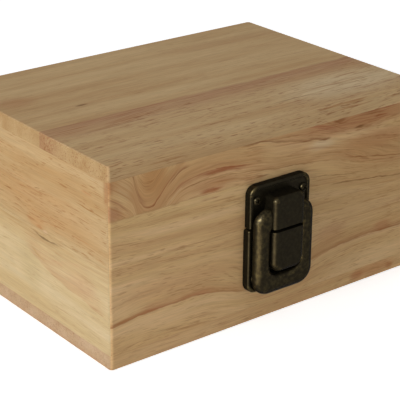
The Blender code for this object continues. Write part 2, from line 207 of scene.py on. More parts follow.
# Rubberwood, planed and sanded and left under a thin matt oil: no gloss, a soft wandering grain in cream
# and tan, reddish growth lines, and vessels that show as short dark dashes
wood = {
    "roughness": 0.62,
    "gloss": 0.02,                  # specular level
    "wave": (70, 26, 26),           # mm, length, width and depth of the grain's slow waves
    "waveHeight": 1.6,              # mm
    "ragged": (9, 2.5, 2.5),        # mm, how a growth line frays
    "raggedHeight": 1.1,            # mm
    "fadeLength": 12,               # mm, over which a growth line ends
    "latewood": (0.28, 0.5),        # half growth rings, where the dark part starts and where it is full
    "toneGrain": (130, 9, 9),       # mm, bands of paler and warmer wood
    "toneStops": (0.34, 0.5, 0.66),
    "fibreGrain": (16, 0.55, 0.55),
    "fibreTint": (0.90, 1.09),
    "streakGrain": (26, 1.3, 1.3),
    "streakShows": (0.50, 0.72),    # noise values between which a streak fades in
    "streakPatch": (80, 11, 11),
    "streakPatchShows": (0.44, 0.62),
    "streak": "A06A40",
    "dashGrain": (6.5, 0.6, 0.6),   # real vessels are 0.2 mm wide, drawn at three times that so they show
    "dashShows": (0.56, 0.70),
    "dashPatch": (26, 8, 8),
    "dashPatchShows": (0.34, 0.60),
    "dash": "8A5428",
    "endShows": (0.6, 0.95),        # how squarely a face looks along the grain
    "bumpStrength": 0.6,
    "bump": 0.03 * mm,
}


def grainNoise(tree, place, grain, seed, detail=2.0):
    # Noise drawn out along the grain. grain holds its length, width and depth in mm
    start = (seed, 2.7 * seed, 5.3 * seed)
    stretched = addNode(tree, "Mapping", {}, place, start, (0, 0, 0), [1 / size for size in grain])
    return addNode(tree, "TexNoise", {}, stretched, 1.0, detail, 0.55)


def followCurve(tree, value, points, handle):
    # The curve through (value, result) points
    start, end = points[0][0], points[-1][0]
    low, high = min(result for value, result in points), max(result for value, result in points)
    curve = addNode(tree, "FloatCurve", {}, Value=addNode(tree, "MapRange", {}, value, start, end))
    line = curve.mapping.curves[0]
    while len(line.points) < len(points):
        line.points.new(0.5, 0.5)
    for point, (place, result) in zip(line.points, points):
        point.location = ((place - start) / (end - start), (result - low) / (high - low))
        point.handle_type = handle
    curve.mapping.update()
    return addNode(tree, "MapRange", {}, curve, 0.0, 1.0, low, high)


def addLine(tree, along, height, uneven, colour, line):
    # A growth line: sharp on one side and soft on the other, and fading at its ends
    level, start, end, above, below, code, strength = line
    fade = min(wood["fadeLength"], 0.35 * (end - start))
    off = addNode(tree, "Math", subtract, height, level)
    amount = strength
    for mask in (
        addNode(tree, "MapRange", smooth, off, above, 0.0),
        addNode(tree, "MapRange", smooth, off, -below, 0.0),
        addNode(tree, "MapRange", smooth, along, start, start + fade),
        addNode(tree, "MapRange", smooth, along, end, end - fade),
        uneven,
    ):
        amount = addNode(tree, "Math", multiply, mask, amount)
    return addNode(tree, "Mix", paint, amount, colour, hexColour(code))


def addPatch(tree, place, colour, patch):
    # A soft oval of another colour
    middle, height, halfLength, halfWidth, code, strength = patch
    fromMiddle = addNode(tree, "VectorMath", subtract, place, (middle, height, 0))
    reach = addNode(tree, "VectorMath", length,
                    addNode(tree, "VectorMath", multiply, fromMiddle, (1 / halfLength, 1 / halfWidth, 0)))
    amount = addNode(tree, "MapRange", smooth, reach, 1.0, 0.25, 0.0, strength)
    return addNode(tree, "Mix", paint, amount, colour, hexColour(code))


def makeWood(name, look):
    material, tree, shader = newMaterial(name, wood["roughness"])
    shader.inputs["Specular IOR Level"].default_value = wood["gloss"]
    seed = look["seed"]
    coordinates = addNode(tree, "TexCoord", {}).outputs
    axes = addNode(tree, "SeparateXYZ", {}, coordinates["Object"]).outputs
    along, across, depth = (addNode(tree, "Math", multiply, axes["XYZ".index(axis)], 1 / mm)
                            for axis in look["grain"])

    # The grain bends: rise along the board, as large a share of it as the place across the board takes
    bent = across
    for bend in look.get("bends", []):
        rise = followCurve(tree, along, bend["rise"], "AUTO")
        share = followCurve(tree, across, bend["share"], "VECTOR")
        bent = addNode(tree, "Math", subtract, bent, addNode(tree, "Math", multiply, rise, share))
    place = addNode(tree, "CombineXYZ", {}, along, bent, depth)
    drift = grainNoise(tree, place, wood["wave"], seed, 1.0).outputs["Color"]
    centred = addNode(tree, "VectorMath", subtract, drift, (0.5, 0.5, 0.5))
    wave = 2 * wood["waveHeight"]
    wavy = addNode(tree, "VectorMath", multiplyAdd, centred, (0, wave, wave), place)

    # Growth rings round a heart that lies outside the board and leans along it
    lean = addNode(tree, "VectorMath", multiplyAdd, addNode(tree, "SeparateXYZ", {}, wavy),
                   (0, -look["lean"][0], -look["lean"][1]), wavy)
    fromHeart = addNode(tree, "VectorMath", subtract, lean, (0, *look["heart"]))
    radius = addNode(tree, "VectorMath", length, addNode(tree, "VectorMath", multiply, fromHeart, (0, 1, 1)))
    ringCount = addNode(tree, "Math", multiply, radius, 1 / look["ringWidth"])
    rings = addNode(tree, "Math", {"operation": "PINGPONG"}, ringCount, 0.5)
    latewood = addNode(tree, "MapRange", smooth, rings, *wood["latewood"], 0.0, look["rings"])

    tone = grainNoise(tree, wavy, wood["toneGrain"], seed + 1.3, 3.0)
    tones = addNode(tree, "ValToRGB", {}, tone)
    stops = tones.color_ramp.elements
    stops[0].position, stops[1].position = wood["toneStops"][0], wood["toneStops"][2]
    stops.new(wood["toneStops"][1])
    for stop, code in zip(stops, look["tones"]):
        stop.color = hexColour(code)
    colour = addNode(tree, "Mix", paint, latewood, tones, hexColour(look["ringColour"]))

    streak = grainNoise(tree, wavy, wood["streakGrain"], seed + 3.7)
    ragged = addNode(tree, "Math", subtract, grainNoise(tree, place, wood["ragged"], seed + 8.5), 0.5)
    frayed = addNode(tree, "Math", multiplyAdd, ragged, 2 * wood["raggedHeight"], bent)
    straight = addNode(tree, "Math", multiplyAdd, ragged, 2 * wood["raggedHeight"], across)
    uneven = addNode(tree, "MapRange", {}, streak, 0.3, 0.65, 0.35, 1.0)
    spot = addNode(tree, "CombineXYZ", {}, along, straight, depth)
    for patch in look.get("patches", []):
        colour = addPatch(tree, spot, colour, patch)
    for line in look.get("straightLines", []):
        colour = addLine(tree, along, straight, uneven, colour, line)
    for line in look.get("lines", []):
        colour = addLine(tree, along, frayed, uneven, colour, line)
    for path, *line in look.get("paths", []):
        off = addNode(tree, "Math", subtract, straight, followCurve(tree, along, path, "AUTO"))
        colour = addLine(tree, along, off, uneven, colour, (0.0, path[0][0], path[-1][0], *line))

    fibre = grainNoise(tree, wavy, wood["fibreGrain"], seed + 2.1, 3.0)
    fibreTint = addNode(tree, "MapRange", {}, fibre, 0.3, 0.7, *wood["fibreTint"])
    colour = addNode(tree, "Mix", tint, 1.0, colour, fibreTint)
    patch = grainNoise(tree, wavy, wood["streakPatch"], seed + 4.9)
    patch = addNode(tree, "MapRange", smooth, patch, *wood["streakPatchShows"], 0.0, look["streaks"])
    streaks = addNode(tree, "MapRange", smooth, streak, *wood["streakShows"])
    streaks = addNode(tree, "Math", multiply, streaks, patch)
    colour = addNode(tree, "Mix", paint, streaks, colour, hexColour(wood["streak"]))
    dash = grainNoise(tree, wavy, wood["dashGrain"], seed + 6.1, 1.0)
    patch = grainNoise(tree, wavy, wood["dashPatch"], seed + 7.3)
    patch = addNode(tree, "MapRange", smooth, patch, *wood["dashPatchShows"], 0.0, look["dashes"])
    dashes = addNode(tree, "MapRange", smooth, dash, *wood["dashShows"])
    dashes = addNode(tree, "Math", multiply, dashes, patch)
    colour = addNode(tree, "Mix", paint, dashes, colour, hexColour(look.get("dash", wood["dash"])))

    if "endGrain" in look:  # the ends of the boards drink more oil
        sideways = addNode(tree, "SeparateXYZ", {}, coordinates["Normal"])
        facing = addNode(tree, "Math", {"operation": "ABSOLUTE"}, sideways)
        endGrain = addNode(tree, "MapRange", smooth, facing, *wood["endShows"])
        colour = addNode(tree, "Mix", tint, endGrain, colour, hexColour(look["endGrain"]))
    tree.links.new(colour.outputs[2], shader.inputs["Base Color"])

    relief = addNode(tree, "Math", subtract, fibre, dashes)
    bump = addNode(tree, "Bump", {}, wood["bumpStrength"], wood["bump"], Height=relief)
    tree.links.new(bump.outputs[0], shader.inputs["Normal"])
    return material


# The front's lid board and base board were sawn from one panel, so one figure crosses their seam. Its lid
# half is glued from two strips: an arch of grain that ends in a pointed tongue over straight grain
frontLook = {
    "grain": "XZY", "seed": 11, "heart": (-60, -20), "lean": (0.05, 0.02), "ringWidth": 7, "rings": 0.1,
    "tones": ("DAB788", "D1AD7B", "C69E6F"), "ringColour": "BB9162", "streaks": 0.42, "dashes": 0.36,
    "bends": [  # rise: (along, mm up), share: (height, part of it)
        {"rise": [(-100, 12.4), (-93, 8), (-86.6, 2.5), (-84.2, -3.5), (-81.5, -10.2), (-76.5, -13.3),
                  (-72.3, -10.3), (-67.3, -4.9), (-63, -1), (-56, 3.3), (-47.4, 4.5), (-37.4, 5), (-30, 4.4),
                  (-20, 2.9), (-11, 2.2), (0, 0)],
         "share": [(0, 0), (76.1, 0), (76.5, 1), (104, 1)]},
        {"rise": [(-12, 0), (0, 0), (24.7, -2.4), (38.3, -4), (48.3, -6.1), (59, -9), (69.7, -11.8),
                  (85.4, -14.7), (100, -16)],
         "share": [(0, 0), (44, 0), (70, 1), (80, 1), (88, 0), (104, 0)]},
        {"rise": [(0, 0), (14, -1.6), (26, -3.4), (38, -7), (45, -9.2), (57, -9.9), (70, -10), (100, -9.5)],
         "share": [(0, 0), (80, 0), (88, 1), (104, 1)]},
        {"rise": [(-98, -2), (-90, -1), (-80, 0), (-50, 0), (-42, -0.5), (-35, -2), (-28, -4), (-18, -7),
                  (0, -9), (14, -6), (27, -2.2), (35, -0.5), (50, 1), (62, 1.8), (75, 1.5), (90, 1.2)],
         "share": [(0, 0.4), (18, 1), (28, 1), (46, 0)]},
        {"rise": [(-100, 6), (100, -6)],
         "share": [(0, 0.4), (14, 0.4), (22, 0), (28, 0), (40, 0.8), (68, 0.8), (76, 0)]},
    ],
    "patches": [  # middle along, height, half length, half width, colour, strength
        (-91, 90, 6, 9, "D8BC8C", 0.4),
        (-98, 80, 8, 6, "AC7A60", 0.55),
        (-99.5, 93, 4, 6, "A56A42", 0.55),
        (-74, 92, 12, 14, "BC8E5C", 0.9),
        (30, 85, 13, 3.8, "DCC39A", 0.8),
        (-36, 87, 18, 1.5, "A86A4A", 0.6),
        (-40, 81, 20, 4, "AC7450", 0.4),
        (-40, 78, 9, 1.5, "A65E3C", 0.75),
        (-9, 77.6, 6, 0.8, "86572F", 0.7),
        (55, 93, 72, 8, "B07C54", 0.75),
        (32, 87.6, 5, 0.9, "7E4F30", 0.8),
        (56, 89, 5, 0.9, "74492A", 0.85),
        (71, 92.3, 6, 0.8, "9A5A3A", 0.7),
        (42, 95.2, 6, 0.9, "8C5A38", 0.7),
        (66, 94.2, 9, 0.7, "8C5634", 0.7),
        (70, 96, 20, 0.9, "94573A", 0.7),
        # a large darker oval that makes the whole right half of the front darker
        (75, 50, 70, 52, "B28C5C", 0.33),
        (70, 80, 36, 7, "AC7448", 0.5),
        (66, 13, 45, 9, "DCBC8E", 0.55),
        (38, 34, 16, 8, "B27E5A", 0.35),
        (76, 29, 9, 4, "B27550", 0.45),
        (-60, 16, 50, 6, "DDB98A", 0.15),
        (-62, 35, 60, 9, "C4966A", 0.4),
    ],
    "straightLines": [  # height, from, to, soft above, soft below, colour, strength
        (76.4, -118, -4, 40, 0.4, "BB8656", 0.5),
        (76.4, -118, 6, 0.4, 13, "D2B27A", 0.5),
        (76.4, -118, -4, 1, 0.4, "A87F58", 0.4),
    ],
    "lines": [
        (79.3, -22, 118, 20, 0.5, "AE7C50", 0.6),
        (91.5, -89, -53, 2.2, 0.6, "A86A40", 0.75),
        (91.5, -88, -54, 0.8, 0.5, "8C5232", 0.75),
        (89.6, -68, -52, 2, 0.6, "8C5232", 0.75),
        (92.6, 62, 92, 0.8, 0.6, "9A6B44", 0.5),
        (85, -53, -20, 0.7, 1.2, "A06A48", 0.55),
        (82.9, -69, -12, 0.7, 3, "9E5C3C", 0.9),
        (79.3, -64, 4, 0.6, 0.6, "96653F", 0.75),
        (79.3, 0, 30, 0.6, 0.5, "9A6A44", 0.6),
        (73.4, -48, -33, 0.7, 0.6, "9C5A3A", 0.7),
        (76, -25, -5, 0.6, 0.6, "A0673F", 0.6),
        (98.8, 16, 44, 1.2, 1.6, "A25E42", 0.85),
        (98.4, 44, 90, 0.7, 0.6, "95663E", 0.6),
        (102.8, 36, 47, 0.6, 0.5, "84563A", 0.7),
        (102.1, 65, 77, 0.7, 0.6, "8E5236", 0.7),
        (105, 55, 72, 0.7, 0.7, "926340", 0.55),
        (88.5, 72, 90, 0.6, 0.5, "966740", 0.5),
        (82.8, 32, 46, 0.6, 0.5, "96673F", 0.5),
        (24.5, -118, -14, 3.6, 0.5, "A56C42", 0.9),
        (24.5, -86, -34, 6, 0.5, "B0714E", 0.45),
        (24.5, 18, 118, 3.4, 0.5, "A06A44", 0.9),
        (24.4, -118, 118, 0.3, 7, "DFBD8E", 0.45),
    ],
    "paths": [  # points (along, height), soft above, soft below, colour, strength
        ([(-45, 96.8), (-22, 96), (-8, 95), (0, 93.4), (6, 91.9), (14, 90.3), (24, 88.8), (38, 87.5)],
         1.6, 0.6, "8A5A38", 0.9),
        ([(-103, 88), (-96, 85.6), (-91, 81.5), (-86, 76)], 1.4, 0.7, "A26A4C", 0.7),
        ([(-92, 112), (-86, 96), (-84.6, 90), (-83, 85.5), (-81, 82), (-77, 79)], 3.5, 1.5, "96603E", 0.75),
        ([(-12, 95.6), (4, 94.6), (20, 93), (40, 92.4), (60, 91.2), (84, 90.6)], 0.8, 0.6, "9C6240", 0.6),
        ([(24, 95.2), (40, 93.8), (55, 94.6), (84, 94)], 0.7, 0.6, "9A6240", 0.6),
        ([(26, 91), (40, 89.8), (52, 89.4), (66, 88.6)], 0.6, 0.6, "9E6A46", 0.6),
        ([(18, 69.4), (30, 68), (45, 65.5), (62, 63.3)], 0.5, 0.5, "8A5C32", 0.75),
        ([(34, 62), (50, 60.2), (64, 58.4), (76, 57), (96, 54)], 0.6, 0.5, "7E5229", 0.9),
        ([(42, 75.2), (56, 72.6), (70, 69.8), (94, 65.8)], 0.6, 0.5, "8E5A32", 0.8),
        ([(52, 70.4), (70, 67.6), (92, 64.6)], 0.5, 0.5, "945F34", 0.7),
        ([(28, 47.2), (40, 46.4), (52, 46)], 0.6, 0.5, "986638", 0.5),
        ([(56, 46.8), (68, 45.8), (84, 45.2)], 0.5, 0.5, "986638", 0.5),
        ([(46, 22.6), (64, 22.4), (84, 21.6)], 0.5, 0.5, "A8743E", 0.5),
    ],
}
# The left end: orange-tan lid over a pale base, with a small knot beside the seam
knotPatches = [
    (-9, 56, 11, 5.5, "B28050", 0.35),
    (-4, 56, 5, 1.2, "9E683E", 0.45),
    (-12, 54, 4, 1.3, "A46C40", 0.5),
    (-17, 53, 3, 1.6, "D0AE90", 0.4),
]
leftPaths = [  # points (along, height), soft above, soft below, colour, strength
    ([(-33, 50.2), (-25, 49.6), (-17, 48.8), (-12, 49.1), (-8, 49.8), (-2, 50)], 0.8, 0.8, "62452C", 0.97),
    ([(-71, 25.8), (-62, 27), (-50, 29), (-30, 31), (-20, 33), (-5, 37), (0, 39.5), (3, 43), (5, 49)],
     16, 0.7, "B59068", 0.65),
    ([(-20, 35.5), (-12, 37), (-6, 39.5), (-2, 43), (-1, 48)], 2, 0.5, "AE8A58", 0.55),
    ([(-62, 47), (-45, 46), (-30, 42), (-15, 38)], 0.7, 3.5, "BF9370", 0.35),
    ([(-71, 77.4), (-60, 77.9), (-42, 78.3)], 0.6, 0.5, "906632", 0.8),
    ([(-14, 74.7), (-11, 74.1), (-8, 73.8)], 0.5, 0.6, "6E5030", 0.85),
    ([(-36, 60.6), (-25, 59.2), (-15, 58.5), (-8, 57)], 0.6, 0.5, "9A6234", 0.65),
    ([(-58, 60.4), (-48, 60), (-40, 60.2)], 0.7, 0.6, "A56C3E", 0.6),
    ([(-60, 53), (-48, 53.4), (-36, 53.2)], 0.6, 0.5, "8E6236", 0.6),
    ([(-71, 54.6), (-64, 54.9), (-57, 55)], 0.9, 0.6, "AA7A4C", 0.5),
    ([(0, 57.5), (8, 58.8), (14, 58.4)], 0.5, 0.5, "8A5C32", 0.7),
    ([(1, 60.2), (8, 62.8), (12, 63)], 0.5, 0.5, "94653A", 0.6),
    ([(12, 66), (17, 65.6), (22, 65.2)], 0.5, 0.5, "7C5430", 0.75),
    ([(20, 62.3), (24, 62), (29, 61.4)], 0.5, 0.5, "77502E", 0.8),
    ([(4, 55.6), (10, 56.6), (15, 56)], 0.5, 0.5, "94653A", 0.6),
    ([(6, 50.2), (12, 50.4), (18, 50.3)], 0.6, 0.5, "A07A4C", 0.5),
    ([(15, 36.8), (20, 36.4), (26, 35.8)], 0.6, 0.5, "9C7A48", 0.55),
]
leftLidLook = {
    "grain": "YZX", "seed": 23, "heart": (-30, 26), "lean": (0.1, 0.05), "ringWidth": 8, "rings": 0.1,
    "tones": ("BAA078", "B5986E", "AE8C60"), "ringColour": "AA8356", "streaks": 0.38, "dashes": 0.52,
    "patches": [
        (-20, 66, 70, 16, "B2885A", 0.4),
        (0, 90, 90, 10, "B28C5E", 0.2),
        (-54, 85.5, 6, 1.2, "AC764C", 0.4),
        (-70.5, 92, 4, 12, "9C6A44", 0.6),
        *knotPatches,
    ],
    "paths": leftPaths,
}
leftBaseLook = {
    "grain": "YZX", "seed": 31, "heart": (70, 30), "lean": (-0.25, 0.1), "ringWidth": 9, "rings": 0.1,
    "tones": ("C8B48E", "C3AC84", "BCA378"), "ringColour": "B39867", "streaks": 0.12, "dashes": 0.22,
    "patches": [
        (-48, 36, 18, 8, "BE9470", 0.35),
        (-2, 30, 14, 18, "B39E74", 0.5),
        *knotPatches,
        (-16, 48.9, 10, 0.9, "66482C", 0.5),
    ],
    "straightLines": [(52.8, -160, 118, 0.3, 16, "AE8E62", 0.75)],
    "paths": leftPaths,
}
# The top: three glued strips with a reddish band beside the first joint
topLook = {
    "grain": "XYZ", "seed": 47, "heart": (20, 160), "lean": (0.02, 0.01), "ringWidth": 6, "rings": 0.08,
    "tones": ("CCAE82", "C6A67A", "BE9B6F"), "ringColour": "B48E62", "streaks": 0.24, "dashes": 0.2,
    "endGrain": "E0DDD6",
    "patches": [
        (-88, 28, 16, 12, "AE7E58", 0.45),
        (-62.5, 5.5, 5, 1.3, "6E5034", 0.75),
        (60, 48, 70, 10, "B38C66", 0.25),
        (68, -48, 60, 24, "DAC6A2", 0.55),
    ],
    "straightLines": [
        (-15.5, -118, 118, 1.5, 26, "A8785A", 0.85),
        (-29.5, -92, -48, 0.5, 0.6, "8E6444", 0.6),
        (-50.5, 10, 46, 0.8, 0.8, "8A6844", 0.8),
        (-47, 56, 95, 0.7, 0.7, "8E6C48", 0.75),
        (-60.5, -76, -58, 0.6, 0.6, "94704C", 0.6),
        (-58, 8, 24, 0.5, 0.5, "9A7650", 0.5),
        (-42, -34, 22, 0.6, 0.6, "A07A54", 0.4),
    ],
}


def withoutFigure(look):
    # The same wood without what is drawn on one board
    figure = ("bends", "patches", "straightLines", "lines", "paths")
    return {key: value for key, value in look.items() if key not in figure}


bottomLook = {
    **withoutFigure(frontLook), "seed": 79, "rings": 0.2, "endGrain": "DDE0F4",
    "patches": [
        (72, 4.5, 22, 6, "BC8456", 0.55),
        (59, 4.2, 7, 4, "AC6840", 0.5),
        (83, 3.5, 4, 2.6, "AA6E44", 0.6),
        (-60, 4, 60, 6, "DEBC8E", 0.5),
    ],
}
topFrontLook = {**topLook, "seed": 83, "streaks": 0.6, "dashes": 0.65, "dash": "8E5A3A"}
woods = {
    "front": makeWood("rubberwoodFront", frontLook),
    "leftLid": makeWood("rubberwoodLeftLid", leftLidLook),
    "leftBase": makeWood("rubberwoodLeftBase", leftBaseLook),
    "back": makeWood("rubberwoodBack", {**withoutFigure(frontLook), "seed": 61.0, "rings": 0.35}),
    "rightLid": makeWood("rubberwoodRightLid", {**withoutFigure(leftLidLook), "seed": 67.0, "rings": 0.3}),
    "rightBase": makeWood("rubberwoodRightBase", {**withoutFigure(leftBaseLook), "seed": 71.0, "rings": 0.3}),
    "bottom": makeWood("rubberwoodBottom", bottomLook),
    "topFront": makeWood("rubberwoodTopFront", topFrontLook),
    "topMiddle": makeWood("rubberwoodTopMiddle", {**topLook, "seed": 89.0}),
    "topBack": makeWood("rubberwoodTopBack", {**topLook, "seed": 97.0}),
}

# Zinc casting plated in antique bronze: a near-black olive patina that has dulled the metal to a soft sheen,
# rubbed through to dark brass here and there on its raised edges
bronze = {
    "patina": "201C14",
    "patinaLight": "29251A",
    "rubbed": "6A5C3A",
    "edgeTint": "4A4640",           # keeps the patina dark where it is seen edge-on
    "cloud": 1.6,                   # mm, size of the patina's clouds
    "cloudShows": (0.35, 0.75),     # noise values between which the paler patina fades in
    "rubShows": (0.36, 0.70),
    "rubAmount": (0.03, 0.36),      # on a full edge, outside and inside a cloud
    "grit": 0.35,                   # mm, cast skin under the plating
    "gritHeight": 0.012 * mm,
    "roughness": 0.36,
    "gritRoughness": (-0.05, 0.07),     # added to the roughness from grain to grain
    "patinaMetallic": 0.65,         # the oxide skin hides part of the metal's mirror
    "patinaGloss": 0.12,            # specular level
}


def makeBronze():
    material, tree, shader = newMaterial("antiqueBronzePlate", bronze["roughness"], 1.0)
    shader.inputs["Specular IOR Level"].default_value = bronze["patinaGloss"]
    shader.inputs["Specular Tint"].default_value = hexColour(bronze["edgeTint"])
    place = addNode(tree, "TexCoord", {}).outputs["Object"]
    clouds = addNode(tree, "TexNoise", {}, place, 1 / (bronze["cloud"] * mm), 4.0)
    colour = addNode(tree, "Mix", paint, addNode(tree, "MapRange", smooth, clouds, *bronze["cloudShows"]),
                     hexColour(bronze["patina"]), hexColour(bronze["patinaLight"]))
    wear = addNode(tree, "Attribute", {"attribute_name": "edgeWear"}).outputs["Fac"]
    rub = addNode(tree, "MapRange", smooth, clouds, *bronze["rubShows"], *bronze["rubAmount"])
    rub = addNode(tree, "Math", multiply, wear, rub)
    colour = addNode(tree, "Mix", paint, rub, colour, hexColour(bronze["rubbed"]))
    tree.links.new(colour.outputs[2], shader.inputs["Base Color"])
    bare = addNode(tree, "MapRange", {}, rub, 0.0, 0.5, bronze["patinaMetallic"], 1.0)
    tree.links.new(bare.outputs[0], shader.inputs["Metallic"])
    grit = addNode(tree, "TexNoise", {}, place, 1 / (bronze["grit"] * mm), 2.0)
    smoother, rougher = (bronze["roughness"] + change for change in bronze["gritRoughness"])
    gloss = addNode(tree, "MapRange", {}, grit, 0.3, 0.7, smoother, rougher)
    tree.links.new(gloss.outputs[0], shader.inputs["Roughness"])
    bump = addNode(tree, "Bump", {}, 0.4, bronze["gritHeight"], Height=grit)
    tree.links.new(bump.outputs[0], shader.inputs["Normal"])
    return material


bronzeMaterial = makeBronze()


def markWear(piece, stepAngle, flatArea, handled):
    # Rubbed places: the middle of a rounded outer edge, away from faces above flatArea, and in full where two
    # faces bend by stepAngle. A piece that is handled is rubbed a little everywhere
    mesh = bmesh.new()
    mesh.from_mesh(piece.data)
    wear = []
    for vert in mesh.verts:
        widest = max((face.calc_area() for face in vert.link_faces), default=1)
        bends = [edge.calc_face_angle_signed(0) for edge in vert.link_edges if edge.is_manifold]
        sharpest = max(bends, default=0)
        wear.append(handled if widest > flatArea else min(1.0, max(handled, sharpest / stepAngle)))
    mesh.free()
    attribute = piece.data.attributes.new("edgeWear", "FLOAT", "POINT")
    attribute.data.foreach_set("value", wear)


print("materials made")

# The wooden body, measured from the frame
bottomLow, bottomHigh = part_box("bottom_panel")
topLow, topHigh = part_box("top_front_strip")
frontLow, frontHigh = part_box("base_front_board")
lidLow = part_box("lid_front_board")[0]
body = {
    "width": bottomHigh.x - bottomLow.x,
    "depth": bottomHigh.y - bottomLow.y,
    "wall": frontHigh.y - frontLow.y,
    "seam": (frontHigh.z + lidLow.z) / 2,
    "seamGap": 0.04 * mm,      # the halves were sawn from one glued box, so they close tightly
    "glueGap": 0.02 * mm,
    "cornerRound": 2.0 * mm,
    "edgeEase": 0.7 * mm,
    "seamEase": 0.12 * mm,
    "glueEase": 0.06 * mm,
}


def makeWall(name, node, bodyName, side, low, high, material):
    length, outer, turn = {
        "front": (body["width"], body["depth"] / 2, 0),
        "right": (body["depth"], body["width"] / 2, 90),
        "back": (body["width"], body["depth"] / 2, 180),
        "left": (body["depth"], body["width"] / 2, -90),
    }[side]
    wall = addCube(name, (-length / 2, -outer, low), (length / 2, -outer + body["wall"], high))
    roundEdges(wall, lambda edge: runsAlong(edge, zAxis) and inPlane(edge, yAxis, -outer),
               body["cornerRound"], 8)
    for end in (-1, 1):
        pick(wall, "FACE", lambda face: True)
        mitre = Vector((end, 1, 0)).normalized()
        corner = Vector((end * length / 2, -outer, 0)) - mitre * body["glueGap"] / 2
        bpy.ops.mesh.bisect(plane_co=corner, plane_no=mitre, use_fill=True, clear_outer=True)
        leaveEditMode()
    seamSide, glueSide = (high, low) if bodyName == "base" else (low, high)
    outside = -outer + body["cornerRound"]

    def onRim(edge, height):
        return inPlane(edge, zAxis, height) and all(vert.co.y < outside for vert in edge.verts) and any(
            abs(face.normal.z) < 0.5 and face.normal.y < -0.3 for face in edge.link_faces)

    roundEdges(wall, lambda edge: onRim(edge, seamSide), body["seamEase"], 2)
    roundEdges(wall, lambda edge: onRim(edge, glueSide), body["glueEase"], 1)
    wall.rotation_euler.z = math.radians(turn)
    bpy.ops.object.transform_apply(location=True, rotation=True, scale=True)
    shade(wall)
    fit(wall, bodyName, node, material)


for side, baseWood, lidWood in (
    ("front", "front", "front"),
    ("right", "rightBase", "rightLid"),
    ("back", "back", "back"),
    ("left", "leftBase", "leftLid"),
):
    makeWall("baseWall" + side.title(), f"base_{side}_board", "base", side,
             bottomHigh.z + body["glueGap"], body["seam"] - body["seamGap"] / 2, woods[baseWood])
    makeWall("lidWall" + side.title(), f"lid_{side}_board", "lid", side,
             body["seam"] + body["seamGap"] / 2, topLow.z - body["glueGap"], woods[lidWood])


def makePanel(name, node, bodyName, lowY, highY, lowZ, highZ, outerZ, material):
    # A board across the whole width. Its ends on the box's outline are rounded, and its glued edges are sharp
    halfWidth, halfDepth = body["width"] / 2, body["depth"] / 2
    panel = addCube(name, (-halfWidth, lowY, lowZ), (halfWidth, highY, highZ))
    roundEdges(panel, lambda edge: runsAlong(edge, zAxis) and
               (inPlane(edge, yAxis, -halfDepth) or inPlane(edge, yAxis, halfDepth)), body["cornerRound"], 8)

    def glued(edge):
        return any(inPlane(edge, yAxis, place) and abs(place) < halfDepth - touch for place in (lowY, highY))

    roundEdges(panel, lambda edge: inPlane(edge, zAxis, outerZ) and not glued(edge), body["edgeEase"], 4)
    roundEdges(panel, lambda edge: inPlane(edge, zAxis, outerZ) and glued(edge), body["glueEase"], 1)
    shade(panel)
    fit(panel, bodyName, node, material)


halfGlue = body["glueGap"] / 2
firstJoint = (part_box("top_front_strip")[1].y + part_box("top_middle_strip")[0].y) / 2
secondJoint = (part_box("top_middle_strip")[1].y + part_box("top_back_strip")[0].y) / 2
makePanel("bottomPanel", "bottom_panel", "base", bottomLow.y, bottomHigh.y, bottomLow.z, bottomHigh.z,
          bottomLow.z, woods["bottom"])
for stripName, lowY, highY in (
    ("front", topLow.y, firstJoint - halfGlue),
    ("middle", firstJoint + halfGlue, secondJoint - halfGlue),
    ("back", secondJoint + halfGlue, -topLow.y),
):
    makePanel("topStrip" + stripName.title(), f"top_{stripName}_strip", "lid", lowY, highY,
              topLow.z, topHigh.z, topHigh.z, woods["top" + stripName.title()])
print("wooden body made")

# The latch, measured from the frame. Places run forward from the wood, so front faces lie at lower Y
joints = {joint["name"]: Vector(joint["pos_m"]) for joint in frame["joints"]}
ringAxis = joints["ring_flip"]
ringLow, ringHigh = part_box("latch_ring")
plate = {
    "thick": 4.0 * mm,
    "corner": 5.2 * mm,
    "edgeRound": 1.0 * mm,
    "rim": 1.9 * mm,
    "slope": 0.5 * mm,
    "sink": 0.8 * mm,
    "softEdge": 0.25 * mm,
}
block = {
    "width": 19.6 * mm,
    "edgeRound": 2.5 * mm,
    "seamRound": 0.6 * mm,
    "hoodCorner": 2.8 * mm,
    "keeperCorner": 5.5 * mm,
    "hoodTop": 69.3 * mm,       # heights above the table
    "keeperTop": 51.0 * mm,
    "keeperFoot": 29.0 * mm,
}
hoodBore = 2.25 * mm            # radius
roundSides = 32                 # sides of a bore, rod or screw head


